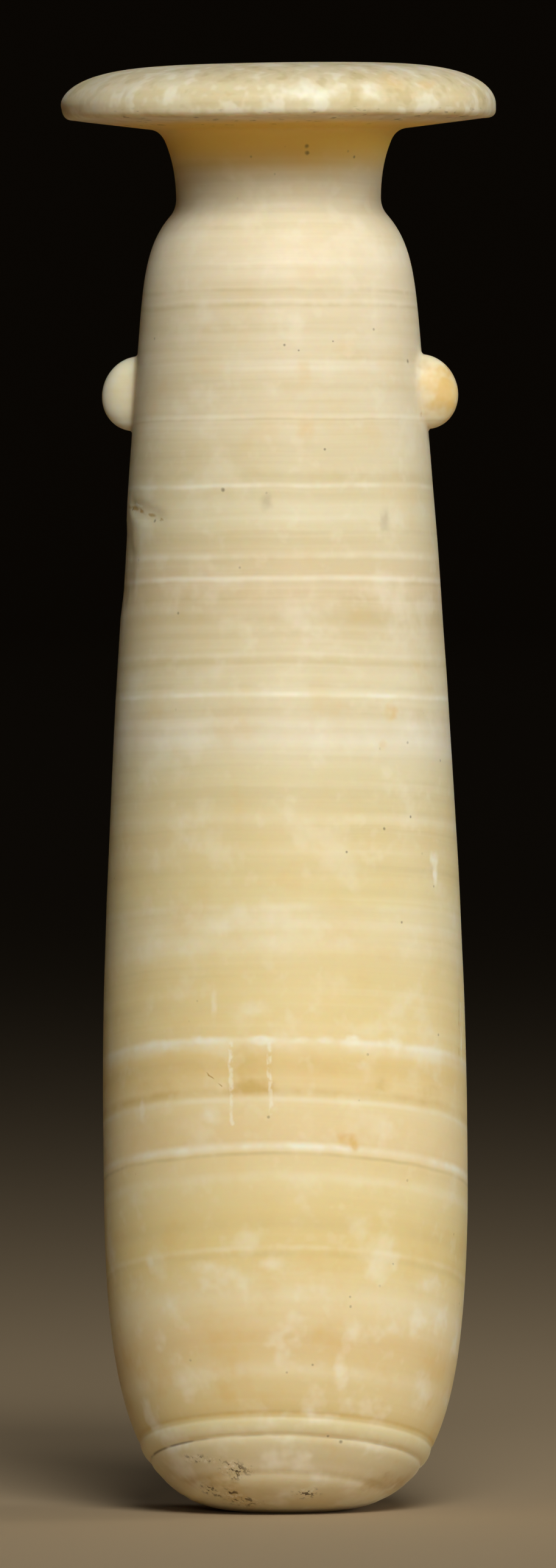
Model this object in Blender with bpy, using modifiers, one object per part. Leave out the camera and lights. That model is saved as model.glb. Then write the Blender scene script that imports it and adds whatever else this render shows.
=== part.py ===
# Alabastron: a tall flask carved and drilled from one block of banded calcite.
# It has a wide flat rim, a short neck, a long body that is fullest low down,
# two small solid lugs and a flattened round base with a little worn flat.
# Units are metres. The axis is Z and the worn flat is at z = 0. The lugs
# stand on +X and -X, and the face that the viewer sees is on -Y.

import math

import bpy
from mathutils import Matrix

mm = 0.001

# Heights, which add up to the whole flask
BODY_H = 233.1 * mm          # from the worn flat to the foot of the neck
NECK_H = 14.1 * mm           # from there to where the neck meets the rim
RIM_CONE_H = 2.0 * mm        # the rise of the rim's underside, inner end to outer edge
RIM_EDGE_H = 2.3 * mm        # from the rim's lower corner to its widest place
RIM_NOSE_H = 7.5 * mm        # the rounded upper part of the rim

# Outer radii
RIM_R = 39.0 * mm
NECK_R = 18.3 * mm           # at the neck's narrowest place
NECK_FLARE = 2.9 * mm        # how far the neck spreads on its way up to the rim
SHOULDER_R = 24.46 * mm
BELLY_R = 32.58 * mm
FLAT_R = 9.0 * mm            # the worn flat that the flask stands on

# Where the outline turns
BELLY_Z = 72.5 * mm          # the fullest place, above the flat
SHOULDER_DROP = 14.6 * mm    # the place of SHOULDER_R, below the foot of the neck
SHOULDER_TURN = 28.7 * mm    # where the body starts to turn in, below the foot of the neck
RIM_CORNER_R = 1.3 * mm      # the rounding of the rim's lower corner
RIM_SLANT = math.radians(0.45)   # the rim's top isn't quite square to the axis

# How full the curves are
BODY_POWER = 1.51
SHOULDER_POWER = 5.4
BASE_POWER_Z = 3.45
BASE_POWER_R = 3.57
NOSE_POWER = 4.7
NECK_POWER = 2.6

# The hollow
BORE_R = 10.5 * mm           # the drilled mouth and neck
MOUTH_ROUND = 1.2 * mm       # the rounding of the mouth's edge
WALL = 7.0 * mm              # the wall of the body
FLOOR = 13.0 * mm            # the thickness of the stone under the hollow
BOWL_H = 32.0 * mm           # the height of the hollow's round bottom
BOWL_POWER = 0.85            # below 1 the round bottom is fuller than an ellipse
CEILING_DROP = 11.0 * mm     # the top of the wide hollow, below the foot of the neck
CEILING_H = 24.0 * mm        # the height over which the hollow closes in to the bore
CEILING_POWER = 2.4

# The lugs
LUG_DROP = 32.9 * mm         # the middle of a lug, below the foot of the neck
LUG_REACH = 6.3 * mm         # how far a lug stands out from the body
LUG_H = 13.4 * mm
LUG_W = 8.2 * mm

# The worn ledges at the base follow the stone's own layers, which lean
LEAN = math.radians(14.6)    # the layers rise towards the front
LEAN_TURN = math.radians(4.0)    # and a little towards +X
GROOVE_H = 7.7 * mm          # the groove's height, where its plane crosses the axis
GROOVE_W = 1.4 * mm
GROOVE_D = 0.45 * mm
RIB_W = 2.0 * mm             # the raised band just above the groove
RIB_D = 0.3 * mm
RIB_SHARPNESS = 4

# How finely the curves are cut
STEPS = 52
BASE_ROWS = 5
LEDGE_ROWS = 11
HAUNCH_ROWS = 6
BODY_ROWS = 8
SHOULDER_ROWS = 8
NECK_ROWS = 6
NOSE_ROWS = 9
CORNER_ROWS = 3
BOWL_ROWS = 6
HOLLOW_ROWS = 4
CEILING_ROWS = 6
LUG_SEGMENTS = 16
LUG_RINGS = 10
BUNCH = 1.6                  # above 1 the rows crowd towards a tight turn
SHARP_ANGLE = math.radians(38.0)
MERGE = 0.01 * mm

STONE_COLOUR = (0.72, 0.60, 0.36, 1.0)
STONE_ROUGHNESS = 0.32

# Heights that follow from the ones above
SHOULDER_Z = BODY_H - SHOULDER_DROP
UNDERSIDE_Z = BODY_H + NECK_H
CORNER_Z = UNDERSIDE_Z + RIM_CONE_H
WIDEST_Z = CORNER_Z + RIM_EDGE_H
CEILING_Z = BODY_H - CEILING_DROP
RIB_H = GROOVE_H + (GROOVE_W + RIB_W) / 2
LEDGES_LOW = GROOVE_H - GROOVE_W
LEDGES_HIGH = RIB_H + RIB_W


def upperBodyRadius(z):
    """The outer radius above the fullest place, without the turn of the shoulder."""
    share = max(z - BELLY_Z, 0.0) / (SHOULDER_Z - BELLY_Z)
    return BELLY_R - (BELLY_R - SHOULDER_R) * share ** BODY_POWER


def shoulderTurn(z):
    """How far the shoulder has turned in at height z."""
    share = max(z - (BODY_H - SHOULDER_TURN), 0.0) / SHOULDER_TURN
    return (upperBodyRadius(BODY_H) - NECK_R) * share ** SHOULDER_POWER


def baseShare(r):
    """How far below the fullest place the base's curve has the radius r, from 0 to 1."""
    return (1.0 - min(r / BELLY_R, 1.0) ** BASE_POWER_R) ** (1.0 / BASE_POWER_Z)


def baseRadius(z):
    """The outer radius from the worn flat up to the fullest place."""
    share = baseShare(FLAT_R) * (1.0 - min(max(z / BELLY_Z, 0.0), 1.0))
    return BELLY_R * (1.0 - share ** BASE_POWER_Z) ** (1.0 / BASE_POWER_R)


def baseHeight(r):
    """The height at which the base has the outer radius r."""
    return BELLY_Z * (1.0 - baseShare(r) / baseShare(FLAT_R))


def bodyRadius(z):
    """The outer radius of the body at any height up to the foot of the neck."""
    if z < BELLY_Z:
        return baseRadius(z)
    return upperBodyRadius(z) - shoulderTurn(z)


def rimTop(r):
    """The height of the rim's rounded top at the radius r, before its slant."""
    return WIDEST_Z + RIM_NOSE_H * math.sqrt(1.0 - min(r / RIM_R, 1.0) ** NOSE_POWER)


def spread(low, high, count, power=1.0):
    """Values from low to high, both ends included, crowded at low if power is above 1."""
    return [low + (high - low) * (i / count) ** power for i in range(count + 1)]


def ledgeRelief(h):
    """How far the surface stands out from the round base on the layer at h."""
    groove = GROOVE_D * math.exp(-(2.0 * (h - GROOVE_H) / GROOVE_W) ** 2)
    rib = RIB_D * math.exp(-(2.0 * (h - RIB_H) / RIB_W) ** RIB_SHARPNESS)
    return rib - groove


def layerHeight(h, angle):
    """The height, at this angle round the axis, of the layer that crosses it at h."""
    lean = -math.tan(LEAN) * math.sin(angle - LEAN_TURN)
    if h < LEDGES_LOW:
        hold = h / LEDGES_LOW
    else:
        share = min(max(h - LEDGES_HIGH, 0.0) / (BELLY_Z - LEDGES_HIGH), 1.0)
        hold = 1.0 - share * share * (3.0 - 2.0 * share)
    z = h
    for _ in range(30):  # halfway steps, which settle on the height quickly
        z = 0.5 * (z + h + hold * lean * bodyRadius(z))
    return z


def outerRows():
    """The outside, from the foot of the neck down to the worn flat."""
    rows = spread(BODY_H, BODY_H - SHOULDER_TURN, SHOULDER_ROWS, BUNCH)
    rows += spread(BODY_H - SHOULDER_TURN, BELLY_Z, BODY_ROWS)[1:]
    rows += spread(LEDGES_HIGH, BELLY_Z, HAUNCH_ROWS, BUNCH)[-2::-1]
    rows += spread(LEDGES_HIGH, LEDGES_LOW, LEDGE_ROWS)[1:]
    rows += [baseHeight(r) for r in spread(baseRadius(LEDGES_LOW), FLAT_R, BASE_ROWS)[1:]]
    return [(bodyRadius(z), z) for z in rows] + [(0.0, 0.0)]


def neckRows():
    """The neck, from the rim's underside down to the shoulder, that end left out."""
    points = []
    for share in spread(0.0, 1.0, NECK_ROWS)[:-1]:
        z = UNDERSIDE_Z - NECK_H * share
        points.append((NECK_R + NECK_FLARE * (1.0 - share) ** NECK_POWER, z))
    return points


def rimRows():
    """The rim, from the mouth's edge over the rounded top to the lower corner."""
    inner = BORE_R + MOUTH_ROUND
    turns = spread(0.0, math.pi / 2, NOSE_ROWS)
    radii = [inner + (RIM_R - inner) * math.sin(turn) for turn in turns]
    points = [(r, rimTop(r)) for r in radii]
    slope = math.atan2(RIM_CONE_H, RIM_R - NECK_R - NECK_FLARE)
    for turn in spread(0.0, math.pi / 2 + slope, CORNER_ROWS):
        r = RIM_R - RIM_CORNER_R * (1.0 - math.cos(turn))
        points.append((r, CORNER_Z + RIM_CORNER_R * (1.0 - math.sin(turn))))
    return points


def hollowRadius(z):
    """The radius of the wide hollow at height z."""
    wall = upperBodyRadius(z) if z > BELLY_Z else BELLY_R
    start = CEILING_Z - CEILING_H
    share = max(z - start, 0.0) / CEILING_H
    closing = upperBodyRadius(CEILING_Z) - WALL - BORE_R
    return wall - WALL - closing * share ** CEILING_POWER


def hollowRows():
    """The inside, from the middle of its floor up to the edge of the mouth."""
    points = [(0.0, FLOOR)]
    wide = hollowRadius(FLOOR + BOWL_H)
    for turn in spread(0.0, math.pi / 2, BOWL_ROWS)[1:]:
        r = wide * math.sin(turn) ** BOWL_POWER
        points.append((r, FLOOR + BOWL_H * (1.0 - math.cos(turn))))
    rows = spread(FLOOR + BOWL_H, CEILING_Z - CEILING_H, HOLLOW_ROWS)[1:]
    rows += spread(CEILING_Z - CEILING_H, CEILING_Z, CEILING_ROWS)[1:]
    points += [(hollowRadius(z), z) for z in rows]
    low = rimTop(BORE_R + MOUTH_ROUND) - MOUTH_ROUND
    for turn in spread(0.0, math.pi / 2, CORNER_ROWS)[:-1]:
        r = BORE_R + MOUTH_ROUND * (1.0 - math.cos(turn))
        points.append((r, low + MOUTH_ROUND * math.sin(turn)))
    return points


def newObject(name, mesh, collection):
    thing = bpy.data.objects.new(name, mesh)
    collection.objects.link(thing)
    return thing


def turnedFlask(collection):
    """The flask turned from its whole profile, inside and outside."""
    profile = hollowRows() + rimRows() + neckRows() + outerRows()
    mesh = bpy.data.meshes.new("vessel")
    mesh.from_pydata([(r, 0.0, z) for r, z in profile],
                     [(i, i + 1) for i in range(len(profile) - 1)], [])
    flask = newObject("vessel_profile", mesh, collection)
    screw = flask.modifiers.new("turn", "SCREW")
    screw.axis = "Z"
    screw.angle = 2.0 * math.pi
    screw.steps = STEPS
    screw.render_steps = STEPS
    screw.use_merge_vertices = True
    screw.merge_threshold = MERGE
    screw.use_smooth_shade = True
    turned = bpy.data.meshes.new_from_object(flask.evaluated_get(
        bpy.context.evaluated_depsgraph_get()))
    bpy.data.objects.remove(flask)
    turned.name = "vessel"
    return newObject("vessel", turned, collection)


def leanLayers(flask):
    """Let the rows of the outer base follow the leaning layers, with their relief."""
    for vertex in flask.data.vertices:
        x, y, h = vertex.co
        r = math.hypot(x, y)
        if not 0.0 < h < BELLY_Z or r < bodyRadius(h) - WALL / 4:
            continue
        angle = math.atan2(y, x)
        z = layerHeight(h, angle)
        out = bodyRadius(z) + ledgeRelief(h)
        vertex.co = (out * math.cos(angle), out * math.sin(angle), z)


def slantRim(flask):
    """Tip the rim's top a little, higher on +X, with its underside left square."""
    for vertex in flask.data.vertices:
        share = min(max((vertex.co.z - WIDEST_Z) / RIM_NOSE_H, 0.0), 1.0)
        vertex.co.z += vertex.co.x * math.tan(RIM_SLANT) * share


def lugScale():
    """The lug's whole size along X, Y and Z, as a matrix."""
    return Matrix.Diagonal((2.0 * LUG_REACH, LUG_W, LUG_H, 1.0))


def makeLug(side, collection):
    """A solid rounded knob, sunk into the body by half of itself."""
    z = BODY_H - LUG_DROP
    bpy.ops.mesh.primitive_uv_sphere_add(
        segments=LUG_SEGMENTS, ring_count=LUG_RINGS, radius=0.5,
        location=(side * bodyRadius(z), 0.0, z))
    lug = bpy.context.object
    lug.name = "lug_left" if side < 0 else "lug_right"
    lug.data.transform(lugScale())
    for other in list(lug.users_collection):
        other.objects.unlink(lug)
    collection.objects.link(lug)
    lug.data.shade_smooth()
    lug.hide_render = True
    lug.display_type = "WIRE"
    return lug


def joinLug(flask, lug):
    union = flask.modifiers.new(lug.name, "BOOLEAN")
    union.operation = "UNION"
    union.solver = "EXACT"
    union.object = lug


def stoneMaterial():
    material = bpy.data.materials.new("banded_calcite")
    material.use_nodes = True
    shader = material.node_tree.nodes["Principled BSDF"]
    shader.inputs["Base Color"].default_value = STONE_COLOUR
    shader.inputs["Roughness"].default_value = STONE_ROUGHNESS
    shader.inputs["Metallic"].default_value = 0.0
    return material


def clearScene():
    for thing in list(bpy.data.objects):
        bpy.data.objects.remove(thing)


def main():
    clearScene()
    parts = bpy.data.collections.new("alabastron")
    cutters = bpy.data.collections.new("cutters")
    bpy.context.scene.collection.children.link(parts)
    bpy.context.scene.collection.children.link(cutters)
    flask = turnedFlask(parts)
    leanLayers(flask)
    slantRim(flask)
    flask.data.set_sharp_from_angle(angle=SHARP_ANGLE)
    flask.data.materials.append(stoneMaterial())
    for side in (-1, 1):
        joinLug(flask, makeLug(side, cutters))


main()
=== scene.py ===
import math

import bpy
import numpy as np
from mathutils import Matrix, Vector, noise


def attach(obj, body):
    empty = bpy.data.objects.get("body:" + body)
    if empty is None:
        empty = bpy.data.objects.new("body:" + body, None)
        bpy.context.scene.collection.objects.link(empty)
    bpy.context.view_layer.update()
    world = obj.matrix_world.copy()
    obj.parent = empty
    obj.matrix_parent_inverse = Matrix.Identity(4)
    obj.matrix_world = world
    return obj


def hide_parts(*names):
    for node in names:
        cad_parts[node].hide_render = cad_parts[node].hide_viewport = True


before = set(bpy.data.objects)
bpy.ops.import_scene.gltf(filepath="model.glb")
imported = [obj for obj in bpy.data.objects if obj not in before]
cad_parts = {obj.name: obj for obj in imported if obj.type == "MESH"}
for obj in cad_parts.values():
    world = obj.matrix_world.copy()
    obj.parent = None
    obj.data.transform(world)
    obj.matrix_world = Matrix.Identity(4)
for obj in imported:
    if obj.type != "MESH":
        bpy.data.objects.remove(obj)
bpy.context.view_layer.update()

mm = 0.001
weldReach = 0.004 * mm
farAway = 9.0                                           # a share that is outside every mark and lug


# Small helpers for modelling by hand

def clearSelection():
    if bpy.context.mode != "OBJECT":
        bpy.ops.object.mode_set(mode="OBJECT")
    bpy.ops.object.select_all(action="DESELECT")


def pickOnly(piece):
    clearSelection()
    piece.select_set(True)
    bpy.context.view_layer.objects.active = piece


def spread(low, high, count, power=1.0):
    return [low + (high - low) * (i / count) ** power for i in range(count + 1)]


def bell(value, middle, half):
    return math.exp(-((value - middle) / half) ** 2)


def smoothStep(low, high, value):
    share = min(max((value - low) / (high - low), 0.0), 1.0)
    return share * share * (3.0 - 2.0 * share)


# The flask: sizes in millimetres, the same curves as the solid

flask = {
    "bodyHeight": 233.1, "neckHeight": 14.1, "rimConeHeight": 2.0,
    "rimEdgeHeight": 2.3, "rimNoseHeight": 7.5,
    "rimRadius": 39.0, "neckRadius": 18.3, "neckFlare": 2.9,
    "shoulderRadius": 24.46, "bellyRadius": 32.58, "flatRadius": 9.0,
    "bellyZ": 72.5, "shoulderDrop": 14.6, "shoulderTurn": 28.7,
    "rimCornerRadius": 1.3, "rimSlant": 0.45,           # degrees
    "bodyPower": 1.51, "shoulderPower": 5.4, "basePowerZ": 3.45, "basePowerR": 3.57,
    "nosePower": 4.7, "neckPower": 2.6,
    "boreRadius": 10.5, "mouthRound": 1.2, "wall": 7.0, "floorThickness": 13.0,
    "bowlHeight": 32.0, "bowlPower": 0.85,
    "ceilingDrop": 11.0, "ceilingHeight": 24.0, "ceilingPower": 2.4,
    "rimFillet": 1.8, "footFillet": 1.9, "footShare": 0.7,      # soft corners at both ends of the neck
    "waviness": 0.13, "waveLength": 38.0,               # the slow unevenness of hand rubbing
    "drillDepth": 0.12, "drillPitch": 2.3, "hollowWave": 0.35,  # rings of the drill in the hollow
    "wornEdge": 0.55, "wornFrom": 34.0, "wornReach": 1.0,       # the rim's lower edge is rounder on the left
}
rowCounts = {                                           # how many rows of faces each stretch has
    "around": 240, "bowl": 16, "hollow": 14, "ceiling": 12, "bore": 7, "mouth": 6, "rimTop": 26,
    "rimCorner": 6, "underside": 8, "neck": 15, "corner": 7, "belly": 38, "lowBody": 36, "ledges": 56,
    "base": 8,
}
wallRows = [(209.5, 26, 1.25), (192.0, 31, 1.0), (186.0, 4, 1.0), (160.0, 34, 1.0)]   # down to, rows, power
ledgeRowsTop, ledgeRowsLow = 12.0, 0.8
slack = {"seam": 0.01, "mouth": 0.05, "neck": 2.0, "flat": 0.05, "lug": 0.02}     # in telling out from in
shoulderZ = flask["bodyHeight"] - flask["shoulderDrop"]
undersideZ = flask["bodyHeight"] + flask["neckHeight"]
cornerZ = undersideZ + flask["rimConeHeight"]
widestZ = cornerZ + flask["rimEdgeHeight"]
ceilingZ = flask["bodyHeight"] - flask["ceilingDrop"]

ledges = {
    "lean": 14.6, "leanTurn": 4.0,                      # degrees: rising to the front, a little to +X
    "low": 6.3, "high": 14.6, "rounds": 30,             # rows follow the layers between these
    "reliefTop": 30.0,                                  # no relief is carved above this
    "grooveH": 7.7, "grooveDepth": 0.13, "grooveWidth": 0.34, "grooveCore": 0.75, "grooveFlare": 3.0,
    "ribH": 9.3, "ribDepth": 0.32, "ribHalf": 1.35, "ribPower": 0.7,
    "crestH": 6.65, "crestDepth": 0.13, "crestHalf": 0.85,
    "upperLineH": 11.5, "upperLineDepth": 0.08, "upperLineHalf": 0.32,
    "lowArcDepth": 0.13, "lowArcDip": (1.65, 0.4), "lowArcCrest": (0.5, 0.8),   # height, half width
}
tanLedge = math.tan(math.radians(ledges["lean"]))
towardsFront = (math.sin(math.radians(ledges["leanTurn"])), -math.cos(math.radians(ledges["leanTurn"])))

layering = {                                            # the layers lean less and less going up
    "leanTop": 0.02, "leanExtra": 0.25, "middle": 95.0, "reach": 24.0,
}

lugs = {
    "drop": 32.9, "reach": 6.3, "height": 13.4, "width": 8.2,
    "fillet": 0.85, "cap": 0.92, "skirt": 1.36,         # shares of the lug's own size
    "cuts": 2, "cutReach": 1.5, "skirtBend": 1.004,
}


def upperRadius(z):
    share = max(z - flask["bellyZ"], 0.0) / (shoulderZ - flask["bellyZ"])
    narrowing = flask["bellyRadius"] - flask["shoulderRadius"]
    return flask["bellyRadius"] - narrowing * share ** flask["bodyPower"]


def shoulderTurn(z):
    share = max(z - (flask["bodyHeight"] - flask["shoulderTurn"]), 0.0) / flask["shoulderTurn"]
    return (upperRadius(flask["bodyHeight"]) - flask["neckRadius"]) * share ** flask["shoulderPower"]


def baseShare(r):
    return (1.0 - min(r / flask["bellyRadius"], 1.0) ** flask["basePowerR"]) ** (1.0 / flask["basePowerZ"])


def baseRadius(z):
    share = baseShare(flask["flatRadius"]) * (1.0 - min(max(z / flask["bellyZ"], 0.0), 1.0))
    return flask["bellyRadius"] * (1.0 - share ** flask["basePowerZ"]) ** (1.0 / flask["basePowerR"])


def baseHeight(r):
    return flask["bellyZ"] * (1.0 - baseShare(r) / baseShare(flask["flatRadius"]))


def bodyRadius(z):
    return baseRadius(z) if z < flask["bellyZ"] else upperRadius(z) - shoulderTurn(z)


def rimTop(r):
    share = min(r / flask["rimRadius"], 1.0)
    return widestZ + flask["rimNoseHeight"] * math.sqrt(1.0 - share ** flask["nosePower"])


def tanLean(z):
    extra = layering["leanExtra"] / (1.0 + math.exp((z - layering["middle"]) / layering["reach"]))
    return min(layering["leanTop"] + extra, tanLedge)


def layerOf(x, y, z):                                   # the height of a stone layer on the axis
    return z - tanLean(z) * (x * towardsFront[0] + y * towardsFront[1])


def leaningHeight(h, angle):
    lean = tanLedge * (math.cos(angle) * towardsFront[0] + math.sin(angle) * towardsFront[1])
    if h < ledges["low"]:
        hold = h / ledges["low"]
    else:
        hold = 1.0 - smoothStep(ledges["high"], flask["bellyZ"], h)
    z = h
    for _ in range(ledges["rounds"]):
        z = 0.5 * (z + h + hold * lean * bodyRadius(z))
    return z


def ledgeRelief(layer):
    core, width = ledges["grooveCore"], ledges["grooveWidth"]
    dome = max(1.0 - ((layer - ledges["ribH"]) / ledges["ribHalf"]) ** 2, 0.0) ** ledges["ribPower"]
    groove = core * bell(layer, ledges["grooveH"], width)
    groove += (1.0 - core) * bell(layer, ledges["grooveH"], width * ledges["grooveFlare"])
    relief = ledges["ribDepth"] * dome - ledges["grooveDepth"] * groove
    relief += ledges["crestDepth"] * bell(layer, ledges["crestH"], ledges["crestHalf"])
    relief -= ledges["upperLineDepth"] * bell(layer, ledges["upperLineH"], ledges["upperLineHalf"])
    arc = bell(layer, *ledges["lowArcCrest"]) - bell(layer, *ledges["lowArcDip"])
    return relief + ledges["lowArcDepth"] * arc


def hollowRadius(z):
    wall = upperRadius(z) if z > flask["bellyZ"] else flask["bellyRadius"]
    share = max(z - (ceilingZ - flask["ceilingHeight"]), 0.0) / flask["ceilingHeight"]
    closing = upperRadius(ceilingZ) - flask["wall"] - flask["boreRadius"]
    return wall - flask["wall"] - closing * share ** flask["ceilingPower"]


def curveShares(t):                                     # weights of a curve through three points
    return (1 - t) ** 2, 2 * t * (1 - t), t * t


def softCorner(before, corner, after):                  # a curve in place of a hard inner corner
    points = []
    for t in spread(0.0, 1.0, rowCounts["corner"]):
        a, b, c = curveShares(t)
        points.append(tuple(a * start + b * middle + c * end
                            for start, middle, end in zip(before, corner, after)))
    return points


def hollowRows():
    points = [(0.0, flask["floorThickness"])]
    wide = hollowRadius(flask["floorThickness"] + flask["bowlHeight"])
    for turn in spread(0.0, math.pi / 2, rowCounts["bowl"])[1:]:
        points.append((wide * math.sin(turn) ** flask["bowlPower"],
                       flask["floorThickness"] + flask["bowlHeight"] * (1.0 - math.cos(turn))))
    bowlTop, closingZ = flask["floorThickness"] + flask["bowlHeight"], ceilingZ - flask["ceilingHeight"]
    rows = spread(bowlTop, closingZ, rowCounts["hollow"])[1:]
    rows += spread(closingZ, ceilingZ, rowCounts["ceiling"])[1:]
    points += [(hollowRadius(z), z) for z in rows]
    low = rimTop(flask["boreRadius"] + flask["mouthRound"]) - flask["mouthRound"]
    points += [(flask["boreRadius"], z) for z in spread(ceilingZ, low, rowCounts["bore"])[1:-1]]
    for turn in spread(0.0, math.pi / 2, rowCounts["mouth"])[:-1]:
        points.append((flask["boreRadius"] + flask["mouthRound"] * (1.0 - math.cos(turn)),
                       low + flask["mouthRound"] * math.sin(turn)))
    return points


def rimRows():
    inner = flask["boreRadius"] + flask["mouthRound"]
    turns = spread(0.0, math.pi / 2, rowCounts["rimTop"])
    radii = [inner + (flask["rimRadius"] - inner) * math.sin(turn) for turn in turns]
    points = [(r, rimTop(r)) for r in radii]
    points.append((flask["rimRadius"], (widestZ + cornerZ) / 2 + flask["rimCornerRadius"] / 2))
    slope = math.atan2(flask["rimConeHeight"], flask["rimRadius"] - flask["neckRadius"] - flask["neckFlare"])
    for turn in spread(0.0, math.pi / 2 + slope, rowCounts["rimCorner"]):
        points.append((flask["rimRadius"] - flask["rimCornerRadius"] * (1.0 - math.cos(turn)),
                       cornerZ + flask["rimCornerRadius"] * (1.0 - math.sin(turn))))
    return points


def neckRadiusAt(z):
    share = (undersideZ - z) / flask["neckHeight"]
    return flask["neckRadius"] + flask["neckFlare"] * (1.0 - share) ** flask["neckPower"]


def neckRows(edge):
    corner = (neckRadiusAt(undersideZ), undersideZ)
    reach = flask["rimFillet"]
    share = reach / math.hypot(edge[0] - corner[0], edge[1] - corner[1])
    before = (corner[0] + (edge[0] - corner[0]) * share, corner[1] + (edge[1] - corner[1]) * share)
    points = [(edge[0] + (before[0] - edge[0]) * t, edge[1] + (before[1] - edge[1]) * t)
              for t in spread(0.0, 1.0, rowCounts["underside"])[1:-1]]
    after = undersideZ - reach
    points += softCorner(before, corner, (neckRadiusAt(after), after))
    foot = flask["bodyHeight"]
    top, low = foot + flask["footFillet"], foot - flask["footFillet"] * flask["footShare"]
    points += [(neckRadiusAt(z), z) for z in spread(after, top, rowCounts["neck"])[1:-1]]
    points += softCorner((neckRadiusAt(top), top), (flask["neckRadius"], foot), (bodyRadius(low), low))
    return points


def outerRows():
    rows, here = [], flask["bodyHeight"] - flask["footFillet"] * flask["footShare"]
    for there, count, power in wallRows:                # closest at the lugs and the flake
        rows += spread(here, there, count, power)[1:]
        here = there
    rows += spread(here, flask["bellyZ"], rowCounts["belly"])[1:]
    rows += spread(ledges["high"], flask["bellyZ"], rowCounts["lowBody"], 1.2)[-2::-1]
    rows += spread(ledges["high"], ledgeRowsTop, 6)[1:]
    rows += spread(ledgeRowsTop, ledgeRowsLow, rowCounts["ledges"])[1:]
    lowest = baseRadius(ledgeRowsLow)
    rows += [baseHeight(r) for r in spread(lowest, flask["flatRadius"], rowCounts["base"])[1:]]
    flat = [(flask["flatRadius"] * share, 0.0) for share in (0.85, 0.6, 0.3, 0.0)]
    return [(bodyRadius(z), z) for z in rows] + flat


def startPoint(name, point):                            # a plane merged to one vertex, ready to extrude
    clearSelection()
    bpy.ops.mesh.primitive_plane_add(size=0.01, location=(0, 0, 0))
    piece = bpy.context.object
    piece.name = name
    piece.data.name = name
    bpy.ops.object.mode_set(mode="EDIT")
    bpy.ops.mesh.select_mode(type="VERT")
    bpy.ops.mesh.merge(type="CENTER")
    bpy.ops.transform.translate(value=(point[0] * mm, 0.0, point[1] * mm))
    return piece


def tracePath(points):                                  # extrudes the chosen vertex along the outline
    here = points[0]
    for there in points[1:]:
        bpy.ops.mesh.extrude_region_move(
            TRANSFORM_OT_translate={"value": ((there[0] - here[0]) * mm, 0.0, (there[1] - here[1]) * mm)})
        here = there


def turnProfile(name, points, steps):
    piece = startPoint(name, points[0])
    tracePath(points)
    bpy.ops.mesh.select_all(action="SELECT")
    bpy.ops.mesh.spin(steps=steps, dupli=False, angle=2 * math.pi, center=(0, 0, 0), axis=(0, 0, 1))
    bpy.ops.mesh.select_all(action="SELECT")
    bpy.ops.mesh.remove_doubles(threshold=weldReach)
    bpy.ops.mesh.normals_make_consistent(inside=False)
    bpy.ops.object.mode_set(mode="OBJECT")
    return piece


def readPoints(piece):
    flat = np.empty(len(piece.data.vertices) * 3)
    piece.data.vertices.foreach_get("co", flat)
    return flat.reshape(-1, 3) / mm


def writePoints(piece, points):
    piece.data.vertices.foreach_set("co", (points * mm).ravel())
    piece.data.update()


def isOuter(r, z):
    if z > undersideZ - slack["seam"]:
        return r > flask["boreRadius"] + flask["mouthRound"] - slack["mouth"]
    if z > flask["bodyHeight"]:
        return r > flask["neckRadius"] - slack["neck"]
    return r > bodyRadius(max(z, 0.0)) - flask["wall"] / 4 or z < slack["flat"]


def leanRows(piece):                                    # the outer base's rows follow the stone's layers
    points = readPoints(piece)
    for i, (x, y, h) in enumerate(points):
        if 0.0 < h < flask["bellyZ"] and isOuter(math.hypot(x, y), h):
            angle = math.atan2(y, x)
            z = leaningHeight(h, angle)
            out = bodyRadius(z)
            points[i] = (out * math.cos(angle), out * math.sin(angle), z)
    writePoints(piece, points)


def lugShare(x, y, z, side):
    if x * side <= 0.0:
        return farAway
    up = z - (flask["bodyHeight"] - lugs["drop"])
    return math.hypot(y / (lugs["width"] / 2), up / (lugs["height"] / 2))


def cutLugFaces(piece):                                 # more faces where the two lugs stand out
    pickOnly(piece)
    for parts in (piece.data.polygons, piece.data.edges, piece.data.vertices):
        for part in parts:
            part.select = False
    for polygon in piece.data.polygons:
        x, y, z = polygon.center / mm
        near = min(lugShare(x, y, z, 1), lugShare(x, y, z, -1))
        polygon.select = near < lugs["cutReach"] and isOuter(math.hypot(x, y) + slack["lug"], z)
    bpy.ops.object.mode_set(mode="EDIT")
    bpy.ops.mesh.select_mode(type="FACE")
    bpy.ops.mesh.subdivide(number_cuts=lugs["cuts"], smoothness=0.0)
    bpy.ops.object.mode_set(mode="OBJECT")


def lugCurve(share):                                    # new share and height above the body
    fillet = lugs["fillet"]
    widest = math.acos(fillet / lugs["reach"])
    if share <= lugs["cap"]:
        turn = widest * share / lugs["cap"]
        return math.sin(turn), lugs["reach"] * math.cos(turn)
    t = (share - lugs["cap"]) / (lugs["skirt"] - lugs["cap"])
    a, b, c = curveShares(t)
    return a * math.sin(widest) + b * lugs["skirtBend"] + c * lugs["skirt"], a * fillet


def raiseLugs(piece):
    points = readPoints(piece)
    middle = flask["bodyHeight"] - lugs["drop"]
    for i, (x, y, z) in enumerate(points):
        side = 1 if x > 0 else -1
        share = lugShare(x, y, z, side)
        if share >= lugs["skirt"] or not isOuter(math.hypot(x, y) + slack["lug"], z):
            continue
        newShare, height = lugCurve(share)
        grow = newShare / share if share > 1e-6 else 0.0
        y, z = y * grow, middle + (z - middle) * grow
        points[i] = (side * (math.sqrt(bodyRadius(z) ** 2 - y * y) + height), y, z)
    writePoints(piece, points)


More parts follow.
